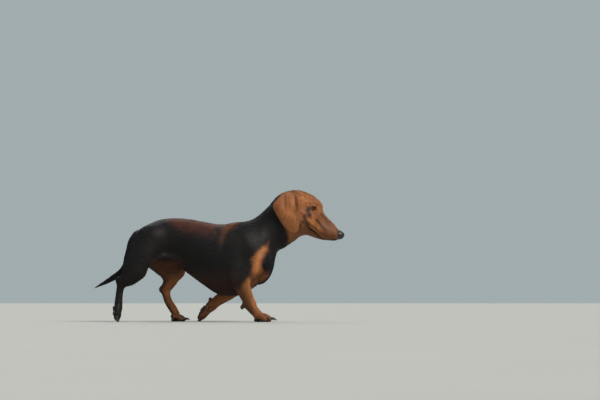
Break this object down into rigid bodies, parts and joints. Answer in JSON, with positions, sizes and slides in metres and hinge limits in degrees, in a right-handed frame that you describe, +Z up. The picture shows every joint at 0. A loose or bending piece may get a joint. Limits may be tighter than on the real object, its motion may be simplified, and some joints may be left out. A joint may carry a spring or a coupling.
{
  "type": "dachshund",
  "caption": "Smooth-haired dachshund walking with its head up, long low body, hanging ears and a low tail; a still model.",
  "frame": {"origin": "middle of the bounding box on the ground under the paws", "axes": "+X to the nose, +Y to the dog's left, +Z up"},
  "size_m": [0.5724, 0.148, 0.3032],
  "materials": {
    "dark_coat": "satin",
    "tan_coat": "satin",
    "nose": "damp",
    "claw": "satin",
    "eye": "wet"
  },
  "bodies": {
    "root": {"torso": "dark_coat", "tail": "dark_coat", "nose": "nose", "eye_right": "eye", "eye_left": "eye", "ear_right": "tan_coat", "ear_left": "tan_coat", "neck": "dark_coat", "head": "tan_coat", "forearm_front_right": "tan_coat", "paw_front_right": "tan_coat", "claw_front_right_1": "claw", "claw_front_right_2": "claw", "claw_front_right_3": "claw", "claw_front_right_4": "claw", "dewclaw_front_right": "claw", "forearm_front_left": "tan_coat", "paw_front_left": "tan_coat", "claw_front_left_1": "claw", "claw_front_left_2": "claw", "claw_front_left_3": "claw", "claw_front_left_4": "claw", "dewclaw_front_left": "claw", "thigh_hind_right": "dark_coat", "shank_hind_right": "dark_coat", "pastern_hind_right": "tan_coat", "paw_hind_right": "tan_coat", "claw_hind_right_1": "claw", "claw_hind_right_2": "claw", "claw_hind_right_3": "claw", "claw_hind_right_4": "claw", "thigh_hind_left": "dark_coat", "shank_hind_left": "dark_coat", "pastern_hind_left": "tan_coat", "paw_hind_left": "tan_coat", "claw_hind_left_1": "claw", "claw_hind_left_2": "claw", "claw_hind_left_3": "claw", "claw_hind_left_4": "claw"}
  },
  "joints": []
}
